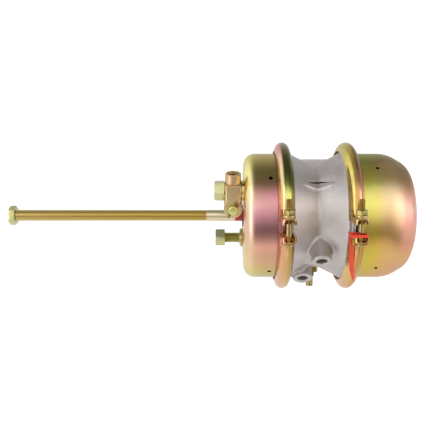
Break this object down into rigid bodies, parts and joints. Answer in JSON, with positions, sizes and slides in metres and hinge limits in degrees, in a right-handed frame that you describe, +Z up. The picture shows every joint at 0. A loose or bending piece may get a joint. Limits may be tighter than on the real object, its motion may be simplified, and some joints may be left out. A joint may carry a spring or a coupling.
{
  "type": "air brake chamber",
  "caption": "Spring brake chamber with a service pan, cast flange case and domed spring chamber, held by V clamps, with push rod, studs and stored clevis.",
  "frame": {"origin": "centre of the service housing's mounting face, on the push rod's axis", "axes": "+X along the chamber from the push rod's end towards the spring chamber, +Z up in the drawn position, -Y the side with the air ports and the mounting studs' upper nut"},
  "size_m": [0.5706, 0.2522, 0.211],
  "materials": {
    "service_housing_plating": "zinc plate with iridescent yellow chromate, over drawn steel",
    "spring_chamber_plating": "zinc plate with iridescent yellow chromate, over drawn steel",
    "service_clamp_plating": "zinc plate with rose and gold chromate, over rolled steel strip",
    "spring_clamp_plating": "zinc plate with olive and rose chromate, over rolled steel strip",
    "nut_plating": "zinc plate with pale yellow chromate",
    "washer_plating": "zinc plate with gold chromate",
    "bolt_plating": "zinc plate with olive-gold chromate",
    "pin_plating": "zinc plate with greenish yellow chromate",
    "stud_plating": "zinc plate with yellow chromate",
    "release_bolt_plating": "zinc plate with olive chromate",
    "yoke_plating": "zinc plate with brown-gold chromate, over a forging",
    "rod_plating": "zinc plate with yellow chromate; red stroke band by the housing",
    "cast_aluminium": "bare, fine shot-blasted casting",
    "diaphragm_rubber": "moulded rubber with fabric",
    "seal_rubber": "smooth rubber",
    "plug_rubber": "moulded black rubber",
    "guide_plastic": "moulded black nylon",
    "bush_plastic": "machined acetal",
    "return_spring_steel": "plain spring wire",
    "power_spring_paint": "black coated spring steel",
    "plate_steel": "plain pressed steel",
    "piston_aluminium": "bare casting",
    "strap_plastic": "moulded red-orange plastic"
  },
  "bodies": {
    "chamber": {"service_housing": "service_housing_plating", "push_rod_guide": "guide_plastic", "upper_mounting_stud": "stud_plating", "lower_mounting_stud": "stud_plating", "upper_stud_lock_washer": "washer_plating", "lower_stud_lock_washer": "washer_plating", "upper_stud_nut": "nut_plating", "lower_stud_nut": "nut_plating", "clevis_yoke": "yoke_plating", "service_return_spring": "return_spring_steel", "service_diaphragm": "diaphragm_rubber", "flange_case": "cast_aluminium", "centre_guide_bush": "bush_plastic", "centre_rod_seals": "seal_rubber", "spring_diaphragm": "diaphragm_rubber", "power_spring": "power_spring_paint", "spring_chamber": "spring_chamber_plating", "caging_port_plug": "plug_rubber", "tamper_seal_strap": "strap_plastic", "release_bolt": "release_bolt_plating", "release_bolt_washer": "release_bolt_plating", "release_bolt_nut": "release_bolt_plating", "service_clamp_upper_half": "service_clamp_plating", "service_clamp_lower_half": "service_clamp_plating", "service_clamp_bolts": "bolt_plating", "service_clamp_washers": "washer_plating", "service_clamp_nuts": "bolt_plating", "spring_clamp_upper_half": "spring_clamp_plating", "spring_clamp_lower_half": "spring_clamp_plating", "spring_clamp_bolts": "bolt_plating", "spring_clamp_washers": "washer_plating", "spring_clamp_nuts": "bolt_plating"},
    "push_rod": {"push_rod": "rod_plating", "push_plate": "plate_steel", "jam_nut": "nut_plating"},
    "spring_piston": {"pressure_plate": "piston_aluminium", "adapter_push_rod": "plate_steel", "adapter_push_plate": "plate_steel"},
    "clevis_pin": {"clevis_pin": "pin_plating", "clevis_cotter_pin": "bolt_plating"}
  },
  "joints": [
    {"name": "spring_piston_slide", "type": "slide", "parent": "chamber", "child": "spring_piston", "axis": [1, 0, 0], "range_m": [0, 0.0635], "stiffness_N_per_m": 400, "springref_m": -0.05, "deforming": ["power_spring", "spring_diaphragm"]},
    {"name": "push_rod_slide", "type": "slide", "parent": "chamber", "child": "push_rod", "axis": [1, 0, 0], "range_m": [0, 0.0635], "deforming": ["service_return_spring", "service_diaphragm"]},
    {"name": "clevis_pin_turn", "type": "hinge", "parent": "chamber", "child": "clevis_pin", "pos_m": [-0.01495, -0.04194, 0.01385], "axis": [0, 0.9135, 0.4067], "continuous": true}
  ],
  "couplings": [
    {"joint": "push_rod_slide", "follows": "spring_piston_slide", "ratio": 1}
  ]
}
